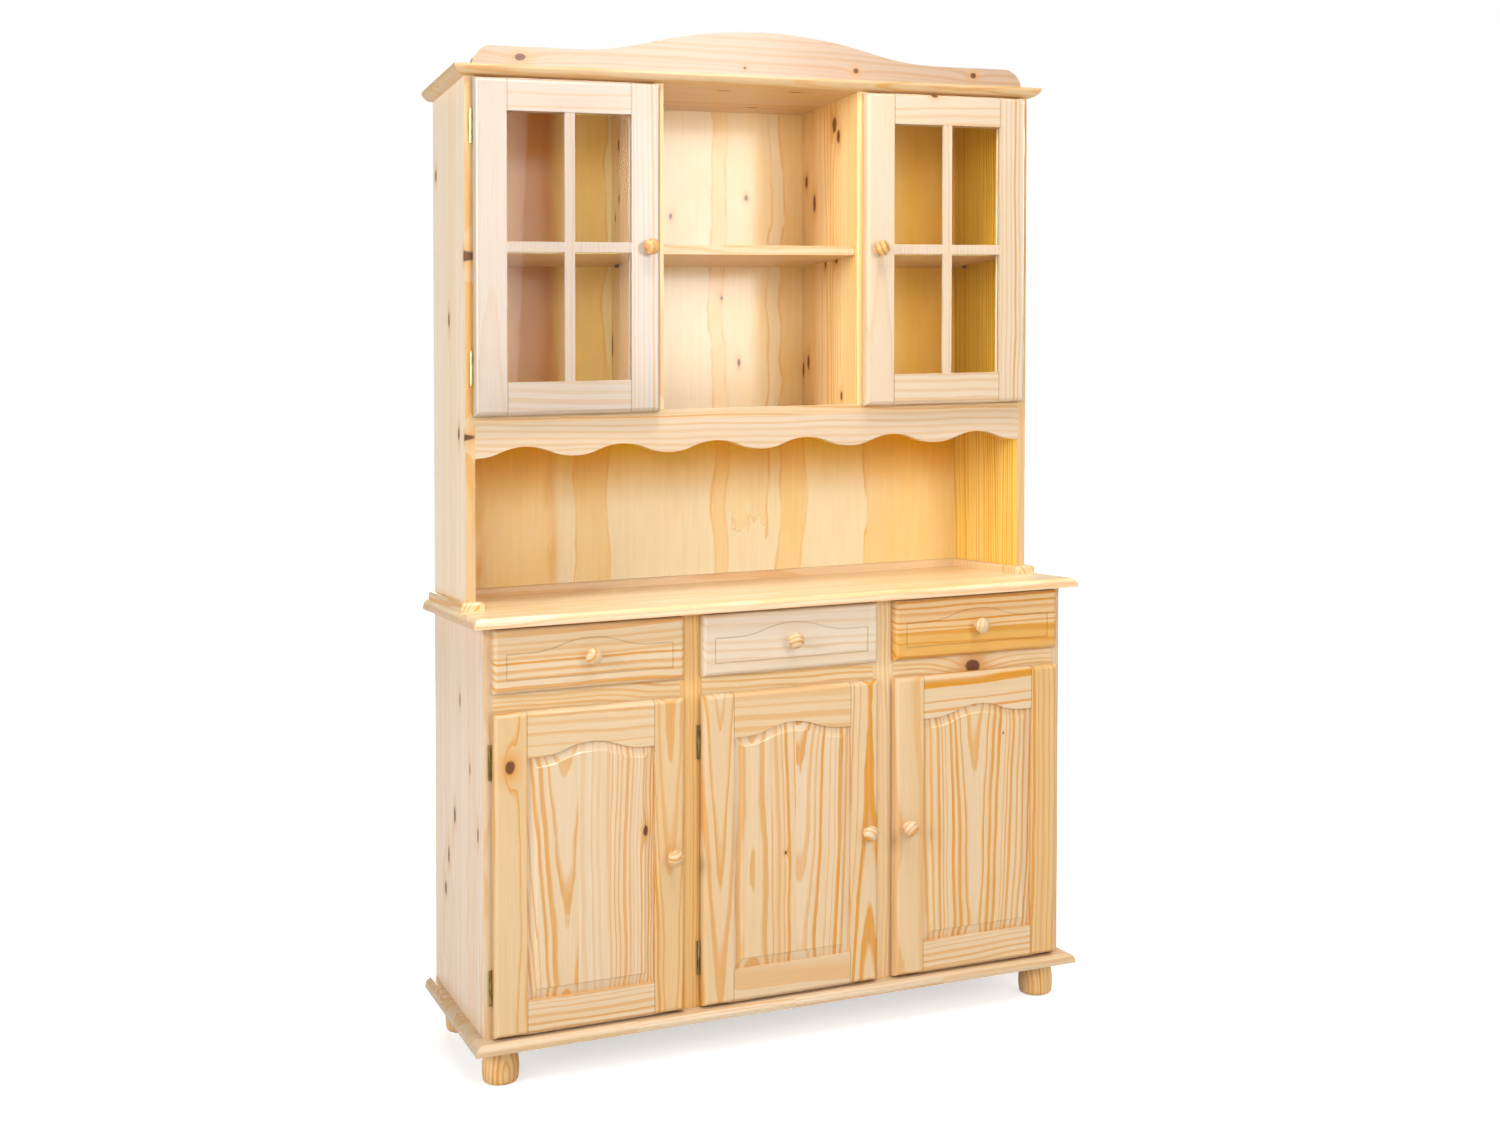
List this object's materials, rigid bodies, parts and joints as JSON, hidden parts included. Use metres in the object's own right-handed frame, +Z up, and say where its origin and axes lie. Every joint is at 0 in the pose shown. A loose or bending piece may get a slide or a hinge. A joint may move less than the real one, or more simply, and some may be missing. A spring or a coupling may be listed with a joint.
{
  "type": "welsh dresser",
  "caption": "Pine welsh dresser: base cabinet with drawers over panelled doors on bun feet, and a shallower hutch with glazed doors, open shelves, scalloped apron and shaped crest.",
  "frame": {"origin": "on the floor, under the middle of the box round the whole piece", "axes": "+Z up, +Y from the front to the back, +X to the right of someone facing the front"},
  "size_m": [1.213, 0.4414, 1.8999],
  "materials": {
    "pine": "clear satin lacquer",
    "plywood": "clear satin lacquer",
    "brass": "dull brass plating",
    "steel": "dull zinc plating",
    "glass": "clear polished"
  },
  "bodies": {
    "carcass": {"base_back_panel": "plywood", "base_partitions": "pine", "base_shelf_battens": "pine", "base_shelves": "pine", "base_sides": "pine", "bun_feet": "pine", "cornice_board": "pine", "crest_board": "pine", "drawer_rails": "pine", "drawer_runners": "pine", "front_posts": "pine", "hinge_fixed_leaves": "brass", "hinge_pins": "brass", "hutch_back_panel": "plywood", "hutch_bottom_board": "pine", "hutch_foot_strips": "pine", "hutch_partitions": "pine", "hutch_shelves": "pine", "hutch_sides": "pine", "plinth_board": "pine", "scalloped_apron": "pine", "shelf_pegs": "steel", "worktop": "pine"},
    "left_door": {"left_door_stiles": "pine", "left_door_rails": "pine", "left_door_panel": "pine", "left_door_knob": "pine", "left_door_hinge_leaves": "brass"},
    "middle_door": {"middle_door_stiles": "pine", "middle_door_rails": "pine", "middle_door_panel": "pine", "middle_door_knob": "pine", "middle_door_hinge_leaves": "brass"},
    "right_door": {"right_door_stiles": "pine", "right_door_rails": "pine", "right_door_panel": "pine", "right_door_knob": "pine", "right_door_hinge_leaves": "brass"},
    "left_glazed_door": {"left_glazed_door_stiles": "pine", "left_glazed_door_rails": "pine", "left_glazed_door_bars": "pine", "left_glazed_door_glass": "glass", "left_glazed_door_knob": "pine", "left_glazed_door_hinge_leaves": "brass"},
    "right_glazed_door": {"right_glazed_door_stiles": "pine", "right_glazed_door_rails": "pine", "right_glazed_door_bars": "pine", "right_glazed_door_glass": "glass", "right_glazed_door_knob": "pine", "right_glazed_door_hinge_leaves": "brass"},
    "left_drawer": {"left_drawer_front": "pine", "left_drawer_box": "pine", "left_drawer_knob": "pine"},
    "middle_drawer": {"middle_drawer_front": "pine", "middle_drawer_box": "pine", "middle_drawer_knob": "pine"},
    "right_drawer": {"right_drawer_front": "pine", "right_drawer_box": "pine", "right_drawer_knob": "pine"}
  },
  "joints": [
    {"name": "left_door_hinge", "type": "hinge", "parent": "carcass", "child": "left_door", "pos_m": [-0.5724, -0.1747, 0.374], "axis": [0, 0, -1], "range_deg": [0, 110]},
    {"name": "middle_door_hinge", "type": "hinge", "parent": "carcass", "child": "middle_door", "pos_m": [-0.1814, -0.1747, 0.374], "axis": [0, 0, -1], "range_deg": [0, 100]},
    {"name": "right_door_hinge", "type": "hinge", "parent": "carcass", "child": "right_door", "pos_m": [0.5724, -0.1747, 0.374], "axis": [0, 0, 1], "range_deg": [0, 110]},
    {"name": "left_glazed_door_hinge", "type": "hinge", "parent": "carcass", "child": "left_glazed_door", "pos_m": [-0.5724, -0.0467, 1.4865], "axis": [0, 0, -1], "range_deg": [0, 110]},
    {"name": "right_glazed_door_hinge", "type": "hinge", "parent": "carcass", "child": "right_glazed_door", "pos_m": [0.5724, -0.0467, 1.4865], "axis": [0, 0, 1], "range_deg": [0, 110]},
    {"name": "left_drawer_slide", "type": "slide", "parent": "carcass", "child": "left_drawer", "axis": [0, -1, 0], "range_m": [0, 0.25]},
    {"name": "middle_drawer_slide", "type": "slide", "parent": "carcass", "child": "middle_drawer", "axis": [0, -1, 0], "range_m": [0, 0.25]},
    {"name": "right_drawer_slide", "type": "slide", "parent": "carcass", "child": "right_drawer", "axis": [0, -1, 0], "range_m": [0, 0.25]}
  ]
}
